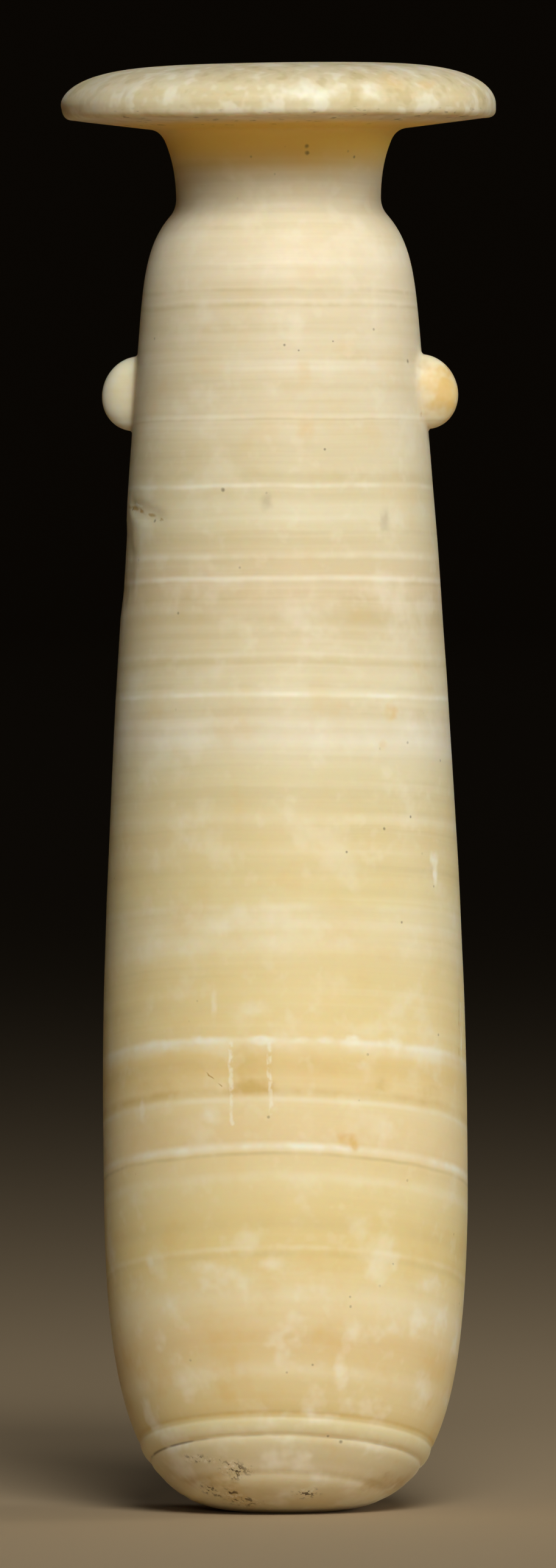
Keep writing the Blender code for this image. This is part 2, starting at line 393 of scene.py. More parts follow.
wear = {                                                # losses that the photograph shows, in millimetres
    "chip": {"place": (-22.3, -16.2, 179.2), "size": (6.5, 1.5), "tilt": -0.16, "depth": 0.32},
    "flake": {"place": (-27.6, -6.5, 169.5), "size": (8.0, 7.6), "depth": 0.32},
    "smallChips": [((32.2, -1.5, 90.0), (1.2, 5.0), 0.10), ((29.1, -11.5, 115.8), (0.6, 1.7), 0.12)],
    "flakeRange": (150.0, 190.0), "flakeEdge": 0.4, "edge": 0.35,
    "ragged": [(0.22, 0.35), (0.12, 1.1)],              # how much, and the noise's scale
}


def dent(x, y, z, place, size, tilt=0.0, edge=wear["edge"]):   # 1 inside a patch of the wall, 0 outside it
    r = math.hypot(x, y)
    turn = math.atan2(y, x) - math.atan2(place[1], place[0])
    turn = (turn + math.pi) % (2 * math.pi) - math.pi
    along, up = turn * r, z - place[2]
    up -= along * tilt
    rough = sum(much * noise.noise(Vector((x, y, z)) * scale) for much, scale in wear["ragged"])
    return 1.0 - smoothStep(1.0 - edge, 1.0 + edge, math.hypot(along / size[0], up / size[1]) + rough)


def wearSurface(piece):                                 # carving, slow waves and chips, along the radius
    chip, flake = wear["chip"], wear["flake"]
    points = readPoints(piece)
    for i, (x, y, z) in enumerate(points):
        r = math.hypot(x, y)
        if r < 0.01:
            continue
        out = 0.0
        place = Vector((x, y, z)) / flask["waveLength"]
        wave = noise.noise(place) + 0.4 * noise.noise(place * 3.1 + Vector((7.0, 3.0, 1.0)))
        if isOuter(r, z):
            standing = smoothStep(0.0, 1.5, z)
            out += flask["waviness"] * wave * smoothStep(0.3, 8.0, z)
            if z < ledges["reliefTop"]:
                out += ledgeRelief(layerOf(x, y, z)) * standing
            out -= chip["depth"] * dent(x, y, z, chip["place"], chip["size"], chip["tilt"])
            if wear["flakeRange"][0] < z < wear["flakeRange"][1]:
                out -= flake["depth"] * dent(x, y, z, flake["place"], flake["size"], edge=wear["flakeEdge"])
            for spot, size, depth in wear["smallChips"]:
                out -= depth * dent(x, y, z, spot, size)
        elif z < ceilingZ + 2.0:
            out += flask["drillDepth"] * math.sin(z * flask["drillPitch"] + 0.6 * wave)
            out += flask["hollowWave"] * wave
        points[i] = (x * (1.0 + out / r), y * (1.0 + out / r), z)
    writePoints(piece, points)


def shapeRim(piece):                                    # slanted top, rounder lower edge on the left
    points = readPoints(piece)
    for i, (x, y, z) in enumerate(points):
        r = math.hypot(x, y)
        share = min(max((z - widestZ) / flask["rimNoseHeight"], 0.0), 1.0)
        z += x * math.tan(math.radians(flask["rimSlant"])) * share
        wornTop = widestZ + flask["wornReach"]
        if r > flask["wornFrom"] and undersideZ < z < wornTop:
            left = max(-x / r, 0.0) ** 2 * smoothStep(wornTop, cornerZ, z)
            share = 1.0 - flask["wornEdge"] * left * smoothStep(flask["wornFrom"], flask["rimRadius"], r) / r
            x, y = x * share, y * share
        points[i] = (x, y, z)
    writePoints(piece, points)


def markLayers(piece):                                  # what the stone's finish follows
    points = readPoints(piece)
    layer = piece.data.attributes.new("layer", "FLOAT", "POINT")
    inside = piece.data.attributes.new("inside", "FLOAT", "POINT")
    radii = np.hypot(points[:, 0], points[:, 1])
    layer.data.foreach_set("value", [layerOf(x, y, z) for x, y, z in points])
    inside.data.foreach_set("value", [0.0 if isOuter(r, z) else 1.0 for r, (x, y, z) in zip(radii, points)])


def outline():
    rim = rimRows()
    return hollowRows() + rim + neckRows(rim[-1]) + outerRows()


def makeVessel():
    piece = turnProfile("stoneVessel", outline(), rowCounts["around"])
    leanRows(piece)
    cutLugFaces(piece)
    raiseLugs(piece)
    shapeRim(piece)
    markLayers(piece)
    wearSurface(piece)
    pickOnly(piece)
    bpy.ops.object.shade_smooth()
    print("vessel:", sum(len(polygon.vertices) - 2 for polygon in piece.data.polygons), "triangles")
    return piece


stoneVessel = makeVessel()


# The stone's finish

def toLinear(colour):                                   # from a screen's 0 to 255
    shares = [c / 255.0 for c in colour]
    return tuple(((c + 0.055) / 1.055) ** 2.4 if c > 0.0404 else c / 12.92 for c in shares) + (1.0,)


def feed(tree, socket, value):                          # a link from a socket, or a plain value
    if isinstance(value, bpy.types.NodeSocket):
        tree.links.new(value, socket)
    else:
        socket.default_value = value


def maths(tree, operation, *values, clamp=False):
    node = tree.nodes.new("ShaderNodeMath")
    node.operation = operation
    node.use_clamp = clamp
    for socket, value in zip(node.inputs, values):
        feed(tree, socket, value)
    return node.outputs[0]


def vectorMaths(tree, operation, *values):
    node = tree.nodes.new("ShaderNodeVectorMath")
    node.operation = operation
    for socket, value in zip(node.inputs, values):
        feed(tree, socket, value)
    return node.outputs["Value" if operation in ("LENGTH", "DOT_PRODUCT", "DISTANCE") else "Vector"]


def mixColour(tree, share, under, over, blend="MIX"):
    node = tree.nodes.new("ShaderNodeMix")
    node.data_type = "RGBA"
    node.blend_type = blend
    node.clamp_factor = True
    feed(tree, node.inputs[0], share)
    feed(tree, node.inputs[6], under)
    feed(tree, node.inputs[7], over)
    return node.outputs[2]


def ramp(tree, value, stops, smooth=False):
    node = tree.nodes.new("ShaderNodeValToRGB")
    node.color_ramp.interpolation = "B_SPLINE" if smooth else "LINEAR"
    marks = node.color_ramp.elements
    for number, (place, colour) in enumerate(stops):
        mark = marks[number] if number < 2 else marks.new(place)
        mark.position = place
        mark.color = colour if len(colour) == 4 else toLinear(colour)
    feed(tree, node.inputs["Fac"], value)
    return node.outputs["Color"]


def stepMask(tree, value, low, high):                   # 0 below low, 1 above high
    node = tree.nodes.new("ShaderNodeMapRange")
    node.interpolation_type = "SMOOTHSTEP"
    feed(tree, node.inputs["Value"], value)
    node.inputs["From Min"].default_value = low
    node.inputs["From Max"].default_value = high
    return node.outputs["Result"]


def noiseValue(tree, vector, scale, detail=2.0, roughness=0.5):
    node = tree.nodes.new("ShaderNodeTexNoise")
    feed(tree, node.inputs["Vector"], vector)
    node.inputs["Scale"].default_value = scale
    node.inputs["Detail"].default_value = detail
    node.inputs["Roughness"].default_value = roughness
    return node.outputs["Fac"]


def newGroup(name, vectors, floats, output):            # a group that puts out one value
    tree = bpy.data.node_groups.new(name, "ShaderNodeTree")
    for kind, labels in (("Vector", vectors), ("Float", floats)):
        for label in labels:
            tree.interface.new_socket(name=label, in_out="INPUT", socket_type="NodeSocket" + kind)
    tree.interface.new_socket(name=output, in_out="OUTPUT", socket_type="NodeSocketFloat")
    return tree, tree.nodes.new("NodeGroupInput").outputs, tree.nodes.new("NodeGroupOutput").inputs[0]


def useGroup(tree, group, **values):
    node = tree.nodes.new("ShaderNodeGroup")
    node.node_tree = group
    for label, value in values.items():
        feed(tree, node.inputs[label], value)
    return node.outputs


def rangeMask(tree, value, outer, inner, strength):     # nothing at outer, the full strength at inner
    node = tree.nodes.new("ShaderNodeMapRange")
    node.interpolation_type = "SMOOTHSTEP"
    for label, given in (("Value", value), ("From Min", outer), ("From Max", inner), ("To Max", strength)):
        feed(tree, node.inputs[label], given)
    return node.outputs["Result"]


spotEdge, thinLineEdge = (1.35, 0.2), (0.4, 1.3)           # where a mark fades, in shares of its size


def makeLineGroup():                                    # one thin line of the stone, broken up by patches
    tree, given, result = newGroup("stoneLine", [], ["layer", "height", "reach", "patch", "strength"], "mask")
    away = maths(tree, "ABSOLUTE", maths(tree, "SUBTRACT", given["layer"], given["height"]))
    mask = rangeMask(tree, away, given["reach"], 0.0, given["strength"])
    feed(tree, result, maths(tree, "MULTIPLY", mask, given["patch"]))
    return tree


def makeSpotGroup():                                    # a soft-edged spot at a place on the surface
    tree, given, result = newGroup("stoneSpot", ["place", "centre", "size"], ["rough", "strength"], "mask")
    away = vectorMaths(tree, "SUBTRACT", given["place"], given["centre"])
    away = vectorMaths(tree, "LENGTH", vectorMaths(tree, "DIVIDE", away, given["size"]))
    reach = maths(tree, "ADD", away, given["rough"])
    feed(tree, result, rangeMask(tree, reach, *spotEdge, given["strength"]))
    return tree


def makeCrackAndShadeLineGroup():                                   # a straight thin mark from one place to another
    tree, given, result = newGroup("stoneCrackAndShadeLine", ["place", "start", "along"], ["width"], "mask")
    away = vectorMaths(tree, "SUBTRACT", given["place"], given["start"])
    square = vectorMaths(tree, "DOT_PRODUCT", given["along"], given["along"])
    share = maths(tree, "DIVIDE", vectorMaths(tree, "DOT_PRODUCT", away, given["along"]), square, clamp=True)
    nearest = tree.nodes.new("ShaderNodeVectorMath")
    nearest.operation = "SCALE"
    feed(tree, nearest.inputs[0], given["along"])
    feed(tree, nearest.inputs["Scale"], share)
    left = vectorMaths(tree, "LENGTH", vectorMaths(tree, "SUBTRACT", away, nearest.outputs[0]))
    reach = maths(tree, "DIVIDE", left, given["width"])
    feed(tree, result, maths(tree, "SUBTRACT", 1.0, stepMask(tree, reach, *thinLineEdge)))
    return tree


def makeStripeGroup():                                  # noise drawn out along the layers
    tree, given, result = newGroup("stoneStripes", ["place"], ["along", "across"], "value")
    parts = tree.nodes.new("ShaderNodeSeparateXYZ")
    feed(tree, parts.inputs[0], given["place"])
    join = tree.nodes.new("ShaderNodeCombineXYZ")
    for number, label in enumerate(("along", "along", "across")):
        feed(tree, join.inputs[number], maths(tree, "MULTIPLY", parts.outputs[number], given[label]))
    feed(tree, result, noiseValue(tree, join.outputs[0], 1.0, 2.0, 0.55))
    return tree


stone = {                                               # layer height in mm, then the stone's colour there
    "tones": [
        (-2.8, (216, 199, 151)), (0.4, (241, 227, 184)), (1.5, (224, 205, 160)), (4.3, (218, 200, 156)),
        (6.6, (228, 214, 170)), (7.4, (230, 214, 168)), (10.2, (232, 218, 172)), (11.2, (222, 198, 138)),
        (17.9, (233, 213, 160)), (24.2, (229, 203, 148)), (30.0, (237, 217, 168)), (40.9, (233, 210, 147)),
        (46.9, (230, 208, 147)), (54.0, (235, 216, 163)), (61.1, (234, 210, 158)), (68.3, (238, 217, 165)),
        (74.5, (234, 208, 147)), (82.9, (237, 215, 156)), (92.3, (234, 214, 158)), (102.8, (235, 219, 174)),
        (107.0, (231, 214, 160)), (117.4, (230, 211, 159)), (131.7, (227, 214, 171)),
        (137.8, (234, 222, 192)), (146.8, (231, 218, 179)), (156.8, (222, 206, 165)),
        (164.8, (224, 204, 163)), (176.7, (227, 214, 174)), (197.4, (229, 214, 177)),
        (226.1, (234, 220, 186)), (232.8, (221, 207, 172)), (251.5, (228, 213, 172)),
    ],
    "lowest": -3.0, "highest": 260.0,
    "whiteLines": [                                     # height, half width, strength
        (79.9, 0.62, 0.55), (79.1, 1.3, 0.40), (59.5, 0.72, 0.85), (145.3, 0.42, 0.75), (68.4, 0.5, 0.35),
        (170.4, 0.6, 0.40), (166.3, 0.45, 0.50), (183.0, 0.42, 0.60), (195.3, 0.4, 0.35), (152.5, 0.5, 0.25),
        (149.2, 1.1, 0.20), (139.8, 0.6, 0.28), (53.9, 0.8, 0.22), (40.9, 0.5, 0.25), (105.5, 0.7, 0.25),
        (18.9, 1.2, 0.22), (215.7, 0.5, 0.18), (32.5, 1.3, 0.20), (98.5, 1.4, 0.22), (137.0, 1.6, 0.25),
    ],
    "tanLines": [                                       # height, half width, strength
        (146.9, 0.6, 0.30), (184.8, 1.1, 0.34), (174.6, 0.5, 0.32), (194.7, 0.25, 0.34), (199.9, 1.4, 0.22),
        (217.8, 0.42, 0.42), (215.2, 0.42, 0.38), (212.6, 0.8, 0.20), (205.6, 0.4, 0.22), (165.4, 0.45, 0.40),
        (162.6, 0.35, 0.30), (159.4, 1.2, 0.26), (142.0, 0.9, 0.26), (151.2, 0.45, 0.22), (161.2, 3.2, 0.26),
        (58.1, 0.35, 0.50), (39.7, 0.6, 0.24), (45.3, 1.2, 0.18),
    ],
    "amberLines": [                                     # height, half width, strength
        (70.0, 0.85, 0.55), (11.45, 0.42, 0.40), (75.1, 2.4, 0.14),
    ],
    "white": (252, 244, 222), "tan": (202, 183, 130), "amber": (206, 171, 88), "dirtAndGrooveLine": (84, 60, 30),
    # the patina colour also paints the warm shade under the rim
    "orange": (226, 188, 112), "grey": (214, 208, 194), "patinaAndShade": (250, 204, 70), "inner": (168, 142, 96),
    "ochre": (184, 146, 70), "smudge": (176, 160, 122),
    "stripes": [(7.0, 210.0, 0.24), (12.0, 480.0, 0.14), (24.0, 1300.0, 0.05)],  # along, across, strength
    "roughness": 0.46, "glossUnevenness": 0.26, "bumpDepth": 0.0004,
    "surface": {
        "IOR": 1.49, "Specular IOR Level": 0.28, "Subsurface Weight": 0.55,
        "Subsurface Radius": (1.0, 0.55, 0.22), "Subsurface Scale": 0.009,
    },
}

finish = {                                              # how far each effect reaches and how strong it is
    "noises": {                                         # scale, detail, roughness
        "wander": (38.0, 1.0, 0.5), "wanderFine": (190.0, 2.0, 0.5), "zones": (24.0, 1.0, 0.5),
        "patchy": (95.0, 3.0, 0.6), "cloud": (95.0, 3.0, 0.62), "cloudFine": (230.0, 2.0, 0.6),
        "markFine": (700.0, 1.0, 0.65), "markBroad": (260.0, 2.0, 0.65), "breaks": (520.0, 2.0, 0.6),
        "specks": (900.0, 2.0, 0.7), "dirtAndGroovePatch": (150.0, 2.0, 0.6), "gloss": (110.0, 4.0, 0.7),
        "grain": (420.0, 2.0, 0.6),
    },
    "steps": {                                          # where a mask is 0 and where it is 1
        "loose": (12.0, 26.0), "upper": (60.0, 145.0),  # layer heights in millimetres
        "darkStripe": (0.46, 0.82), "lightStripe": (0.52, 0.20), "patchLight": (0.38, 0.62),
        "patchDark": (0.62, 0.36), "cloudLight": (0.52, 0.70), "cloudDark": (0.48, 0.28),
        "rimLight": (0.50, 0.66), "rimDark": (0.47, 0.30), "fineLight": (0.56, 0.72),
        "blotchy": (0.36, 0.60), "breaks": (0.36, 0.56), "grooveLineBreaks": (0.34, 0.60),
        "dashes": (0.60, 0.70), "dashPatch": (0.42, 0.58), "speckSize": (0.09, 0.03),
        "speckPatch": (0.55, 0.62), "basePits": (0.54, 0.60), "crumbs": (0.44, 0.36),
        "onRim": (0.2465, 0.2500), "lowBody": (0.062, 0.030),           # from here on in metres
        # where the patina and painted shade under the rim begin and end
        "rimShadeLow": (0.2375, 0.2450), "rimShadeHigh": (0.2500, 0.2484), "rimShadeOut": (0.0355, 0.0255),
        "edgeLow": (0.2472, 0.2482), "edgeHigh": (0.2512, 0.2494), "grooveLeft": (-0.008, -0.017),
    },
    "wander": 1.2, "wanderFine": 0.42,                  # millimetres
    "darkStripe": 2.6, "lightStripe": 2.0, "lineReach": 1.75,
    "grooveLineDrop": 0.05, "grooveLineReach": 0.33, "dashAlong": 420.0, "dashAcross": 1500.0,
    "speckScale": 240.0, "waverScale": 330.0, "waver": 0.0012,
    "grain": 0.14, "grooveBump": 0.8, "bumpStrength": 0.5, "dirtAndGrooveRoughness": 0.4, "innerRoughness": 0.35,
}

marks = [                                               # place, size in mm, colour, strength
    ((2.0, -27.4, 180.8), (1.3, 3.0, 1.5), "smudge", 0.40),
    ((21.7, -17.1, 177.9), (1.0, 2.0, 2.2), "smudge", 0.40),
    ((22.9, -19.2, 142.9), (1.5, 2.0, 1.8), "orange", 0.55),
    ((21.6, -21.2, 137.4), (0.8, 1.2, 0.9), "orange", 0.55),
    ((16.1, -28.3, 67.7), (2.4, 2.0, 1.2), "orange", 0.75),
    ((17.2, -27.8, 66.3), (0.9, 2.0, 1.6), "orange", 0.75),
    ((8.5, -24.6, 203.5), (1.4, 2.0, 3.5), "orange", 0.30),
    ((9.0, -26.0, 193.0), (1.6, 2.0, 5.0), "orange", 0.35),
    ((29.1, -11.5, 117.2), (0.9, 1.5, 1.3), "white", 0.8),
    ((29.3, -11.3, 113.8), (0.5, 1.0, 1.8), "white", 0.7),
    ((-18.8, -26.2, 45.6), (3.0, 3.0, 2.6), "white", 0.50),
    ((-8.7, -31.0, 44.9), (3.6, 3.0, 1.4), "white", 0.50),
    ((2.2, -32.2, 45.2), (2.6, 3.0, 1.2), "white", 0.45),
    ((28.3, -15.1, 41.2), (2.2, 3.0, 1.8), "white", 0.45),
    ((14.4, -26.9, 26.0), (1.1, 3.0, 3.2), "white", 0.50),
    ((4.0, -30.0, 30.0), (1.2, 3.0, 3.0), "white", 0.30),
    ((26.4, -13.3, 21.6), (2.2, 3.0, 4.5), "white", 0.40),
    ((16.6, -26.7, 33.1), (1.6, 3.0, 2.6), "white", 0.35),
    ((-14.0, -26.5, 24.0), (4.5, 3.0, 2.0), "white", 0.30),
    ((-9.0, -30.0, 36.0), (6.0, 4.0, 2.0), "orange", 0.16),
    ((-7.2, -31.6, 85.3), (4.4, 2.0, 0.9), "white", 0.85),
    ((1.3, -32.4, 85.3), (2.0, 2.0, 0.85), "white", 0.80),
    ((8.5, -31.2, 85.2), (1.4, 2.0, 0.75), "white", 0.75),
    ((12.2, -30.0, 85.2), (1.5, 2.0, 0.8), "white", 0.85),
    ((17.1, -27.5, 85.1), (1.7, 2.0, 0.8), "white", 0.85),
    ((23.0, -23.4, 84.4), (3.6, 3.0, 0.9), "white", 0.55),
    ((-18.0, -26.6, 84.0), (6.0, 4.0, 1.2), "white", 0.55),
    ((-8.3, -31.5, 72.2), (1.7, 2.0, 1.8), "white", 0.45),
    ((-21.7, -24.3, 72.5), (0.6, 2.0, 2.4), "white", 0.40),
    ((-7.4, -31.3, 91.0), (0.6, 2.0, 3.0), "white", 0.40),
    ((-1.0, -32.2, 90.5), (3.4, 2.0, 1.6), "white", 0.30),
    ((-4.0, -30.7, 106.5), (9.0, 3.0, 2.4), "white", 0.25),
    ((-0.7, -32.6, 77.3), (4.2, 3.0, 1.2), "amber", 0.60),
    ((-0.8, -32.6, 79.8), (4.6, 3.0, 5.0), "amber", 0.22),
    ((-19.0, -26.0, 77.0), (6.0, 4.0, 1.3), "amber", 0.25),
    ((21.0, -24.6, 76.8), (3.4, 3.0, 1.2), "amber", 0.35),
    ((28.6, -15.0, 75.4), (2.6, 4.0, 1.3), "amber", 0.35),
    ((-30.1, -23.6, 254.0), (6.5, 7.0, 4.0), "grey", 0.55),
    ((-23.0, -30.0, 254.5), (6.0, 5.0, 3.0), "grey", 0.30),
    ((24.9, -27.5, 255.2), (4.0, 4.0, 2.6), "orange", 0.50),
    ((30.4, -21.5, 254.6), (1.6, 3.0, 1.2), "orange", 0.50),
    ((12.0, -36.0, 253.2), (5.0, 4.0, 1.8), "white", 0.55),
    ((22.0, -31.0, 253.2), (3.0, 3.0, 2.4), "white", 0.45),
    ((32.0, -1.0, 203.8), (2.5, 5.0, 3.0), "ochre", 0.95),
    ((31.0, -3.0, 197.3), (3.5, 4.0, 2.0), "ochre", 0.65),
    ((26.6, -3.0, 205.2), (1.3, 4.0, 1.4), "ochre", 0.50),
    ((31.0, -2.0, 200.0), (5.0, 6.0, 7.5), "orange", 0.80),
    ((-31.5, 0.5, 199.5), (6.0, 7.0, 8.0), "grey", 0.35),
    ((-12.5, -19.1, 6.3), (6.5, 5.0, 1.5), "ochre", 0.62),
    ((-4.0, -20.5, 4.6), (7.0, 4.0, 1.1), "ochre", 0.22),
    ((18.3, -12.5, 5.6), (3.8, 5.0, 1.8), "ochre", 0.60),
    ((21.6, -3.5, 5.3), (3.2, 5.0, 1.6), "ochre", 0.50),
]

cracksAndShadeLines = [                                              # cracks, and painted shade lines at the lugs' roots: from, to, half width in mm, colour, strength
    ((-4.4, -32.1, 84.6), (-4.2, -32.1, 70.5), 0.45, "white", 0.55),
    ((2.7, -32.3, 84.6), (2.8, -32.3, 72.5), 0.45, "white", 0.55),
    ((-10.0, -30.9, 80.3), (-8.5, -31.4, 78.9), 0.14, "ochre", 0.70),
    ((-8.5, -31.4, 78.9), (-6.0, -32.0, 77.3), 0.14, "ochre", 0.70),
    ((32.2, -1.5, 90.7), (32.5, -2.3, 80.9), 0.34, "white", 0.75),
    ((31.9, -3.2, 90.0), (32.2, -4.0, 81.5), 0.22, "amber", 0.60),
    ((-26.0, -8.8, 180.0), (-21.6, -17.2, 179.0), 0.42, "ochre", 0.75),
    ((-21.6, -17.2, 179.0), (-18.1, -20.9, 177.6), 0.38, "ochre", 0.75),
    ((-25.6, -10.2, 180.5), (-22.4, -15.8, 180.1), 0.30, "white", 0.80),
    ((-25.9, -8.0, 177.2), (-26.4, -9.8, 162.0), 0.35, "ochre", 0.45),
    # painted shade: a soft dark line where the right lug meets the body
    ((25.4, -2.6, 205.2), (26.0, -3.9, 195.8), 0.35, "ochre", 0.45),
    # painted shade: a dark line on the body's left edge just in front of the left lug
    ((-24.6, -6.8, 205.0), (-25.4, -7.4, 195.0), 0.35, "ochre", 0.50),
]

pits = [                                                # place and size in mm
    ((5.0, -24.8, 208.6), 0.26), ((7.5, -24.3, 207.6), 0.22), ((13.2, -21.5, 209.2), 0.22),
    ((12.0, -23.9, 190.0), 0.25), ((-5.9, -26.6, 182.9), 0.42), ((24.4, -7.5, 205.6), 0.40),
    ((15.9, -26.8, 118.5), 0.25), ((21.9, -21.9, 122.5), 0.28), ((25.9, -16.9, 124.5), 0.25),
    ((24.6, -20.0, 105.8), 0.28), ((8.1, -18.0, 244.0), 0.45), ((8.2, -17.6, 242.8), 0.40),
    ((4.4, -19.0, 244.0), 0.28), ((-1.7, -19.0, 242.2), 0.28), ((15.5, -11.2, 242.1), 0.26),
    ((29.0, -11.8, 112.0), 0.28), ((10.0, -30.6, 68.9), 0.26), ((-24.9, -11.4, 179.6), 0.35),
    ((-19.6, -19.3, 177.5), 0.35), ((-17.3, -26.6, 60.2), 0.40), ((-23.0, -22.0, 57.5), 0.30),
    ((16.0, -27.5, 39.5), 0.28), ((9.5, -29.0, 27.5), 0.28), ((30.0, 5.2, 202.8), 0.30),
    ((28.7, 4.9, 201.4), 0.22), ((-13.0, -27.6, 167.0), 0.24), ((11.5, -24.9, 14.5), 0.32),
    ((13.6, -23.4, 13.5), 0.40),
]

baseClusters = [                                        # crowds of small pits: place and reach in mm
    ((-5.4, -23.7, 8.5), (3.0, 3.0, 1.7)), ((-10.6, -18.0, 4.4), (3.4, 3.0, 1.3)),
    ((-7.2, -18.8, 3.9), (2.6, 3.0, 1.6)), ((6.4, -19.4, 4.2), (2.4, 3.0, 1.1)),
    ((-5.0, -17.0, 2.4), (4.5, 4.0, 0.9)), ((-12.5, -22.3, 10.2), (4.0, 4.0, 0.9)),
]


def inMetres(values):
    return tuple(value * mm for value in values)


def spotMask(tree, group, place, centre, size, rough, strength=1.0):
    if not isinstance(size, tuple):
        size = (size, size, size)
    return useGroup(tree, group, place=place, centre=inMetres(centre), size=inMetres(size),
                    rough=rough, strength=strength)["mask"]


def makeStone():
    material = bpy.data.materials.new("bandedCalcite")
    material.use_nodes = True
    tree = material.node_tree
    shader = tree.nodes["Principled BSDF"]
    lineGroup, spotGroup = makeLineGroup(), makeSpotGroup()
    crackAndShadeLineGroup, stripeGroup = makeCrackAndShadeLineGroup(), makeStripeGroup()

    def overlay(under, mask, name, share=None):
        return mixColour(tree, mask if share is None else both(mask, share), under, toLinear(stone[name]))

    def both(*masks):
        total = masks[0]
        for mask in masks[1:]:
            total = maths(tree, "MULTIPLY", total, mask)
        return total

    def either(*masks):
        total = masks[0]
        for mask in masks[1:]:
            total = maths(tree, "MAXIMUM", total, mask)
        return total

    def added(first, second, clamp=False):
        return maths(tree, "ADD", first, second, clamp=clamp)

    def scaled(value, factor, plus, clamp=False):
        return maths(tree, "MULTIPLY_ADD", value, factor, plus, clamp=clamp)

    def centred(value, share):
        return both(maths(tree, "SUBTRACT", value, 0.5), share)

    def noisy(name, vector=None):
        return noiseValue(tree, place if vector is None else vector, *finish["noises"][name])

    def step(value, name):
        return stepMask(tree, value, *finish["steps"][name])

    def attribute(name):
        node = tree.nodes.new("ShaderNodeAttribute")
        node.attribute_name = name
        return node.outputs["Fac"]

    place = tree.nodes.new("ShaderNodeTexCoord").outputs["Object"]
    parts = tree.nodes.new("ShaderNodeSeparateXYZ")
    feed(tree, parts.inputs[0], place)
    x, y, z = parts.outputs
    exactLayer, inside = attribute("layer"), attribute("inside")
    outside = maths(tree, "SUBTRACT", 1.0, inside)

    # the layers wander a little, less where the ledges are carved
    wander, wanderFine = [centred(noisy(name), finish[name]) for name in ("wander", "wanderFine")]
    layer = added(exactLayer, both(added(wander, wanderFine), step(exactLayer, "loose")))
    join = tree.nodes.new("ShaderNodeCombineXYZ")
    for socket, value in zip(join.inputs, (x, y, both(layer, mm))):
        feed(tree, socket, value)
    layered = join.outputs[0]

    # broad tones, then soft stripes that are plainest in the upper half
    height = stone["highest"] - stone["lowest"]
    colour = ramp(tree, maths(tree, "DIVIDE", maths(tree, "SUBTRACT", layer, stone["lowest"]), height),
                  [((h - stone["lowest"]) / height, shade) for h, shade in stone["tones"]])
    zones = scaled(noisy("zones", layered), 1.4, -0.1, clamp=True)
    strength = both(zones, scaled(step(layer, "upper"), 0.65, 0.35))
    for along, across, depth in stone["stripes"]:
        stripes = useGroup(tree, stripeGroup, place=layered, along=along, across=across)["value"]
        for label, name in (("darkStripe", "tan"), ("lightStripe", "white")):
            mask = both(step(stripes, label), strength)
            colour = overlay(colour, mask, name, depth * finish[label])

    # lines that can be followed round the flask, broken up by patches
    patchy = noisy("patchy", layered)
    patchLight = scaled(step(patchy, "patchLight"), 0.6, 0.4)
    patchDark = scaled(step(patchy, "patchDark"), 0.65, 0.35)
    for name, patch in (("tan", patchDark), ("amber", patchDark), ("white", patchLight)):
        for lineHeight, width, power in stone[name + "Lines"]:
            line = useGroup(tree, lineGroup, layer=layer, height=lineHeight,
                            reach=finish["lineReach"] * width, patch=patch, strength=power)
            colour = overlay(colour, line["mask"], name)

    # cloudy mottling: fine on the rim, broader low on the body
    onRim = both(step(z, "onRim"), outside)
    cloud, cloudFine = noisy("cloud"), noisy("cloudFine")
    mottled = scaled(step(z, "lowBody"), 0.30, 0.24)
    colour = overlay(colour, both(step(cloud, "cloudLight"), mottled), "white")
    colour = overlay(colour, both(step(cloud, "cloudDark"), mottled), "orange", 0.8)
    colour = overlay(colour, both(step(cloudFine, "rimLight"), onRim), "white", 0.50)
    colour = overlay(colour, both(step(cloudFine, "rimDark"), onRim), "tan", 0.55)
    offRim = maths(tree, "SUBTRACT", 1.0, onRim)
    colour = overlay(colour, both(step(cloudFine, "fineLight"), offRim), "white", 0.14)

    # marks that the photograph shows, each in its own place
    roughFine, roughBroad = centred(noisy("markFine"), 1.1), centred(noisy("markBroad"), 1.9)
    blotchy = scaled(step(cloudFine, "blotchy"), 0.6, 0.4)
    for centre, size, name, power in marks:
        mask = spotMask(tree, spotGroup, place, centre, size, roughBroad, power)
        colour = overlay(colour, both(mask, blotchy), name)
    uneven = step(noisy("breaks"), "breaks")
    waver = tree.nodes.new("ShaderNodeTexNoise")
    feed(tree, waver.inputs["Vector"], place)
    waver.inputs["Scale"].default_value = finish["waverScale"]
    off = vectorMaths(tree, "SUBTRACT", waver.outputs["Color"], (0.5, 0.5, 0.5))
    wavering = vectorMaths(tree, "ADD", place, vectorMaths(tree, "MULTIPLY", off, (finish["waver"],) * 3))
    # thin lines: cracks, and painted shade at the two lugs' roots
    for start, end, width, name, power in cracksAndShadeLines:
        along = inMetres(b - a for a, b in zip(start, end))
        thinLine = useGroup(tree, crackAndShadeLineGroup, place=wavering, start=inMetres(start), along=along,
                         width=width * mm)
        colour = overlay(colour, both(thinLine["mask"], uneven), name, power)

    # patina and painted shade under the rim: a warm ochre tint where the rim's shadow falls on the neck
    radius = vectorMaths(tree, "LENGTH", vectorMaths(tree, "MULTIPLY", place, (1.0, 1.0, 0.0)))
    patinaAndRimShade = both(step(z, "rimShadeLow"), step(radius, "rimShadeOut"), outside, step(z, "rimShadeHigh"))
    colour = overlay(colour, patinaAndRimShade, "patinaAndShade", 0.85)
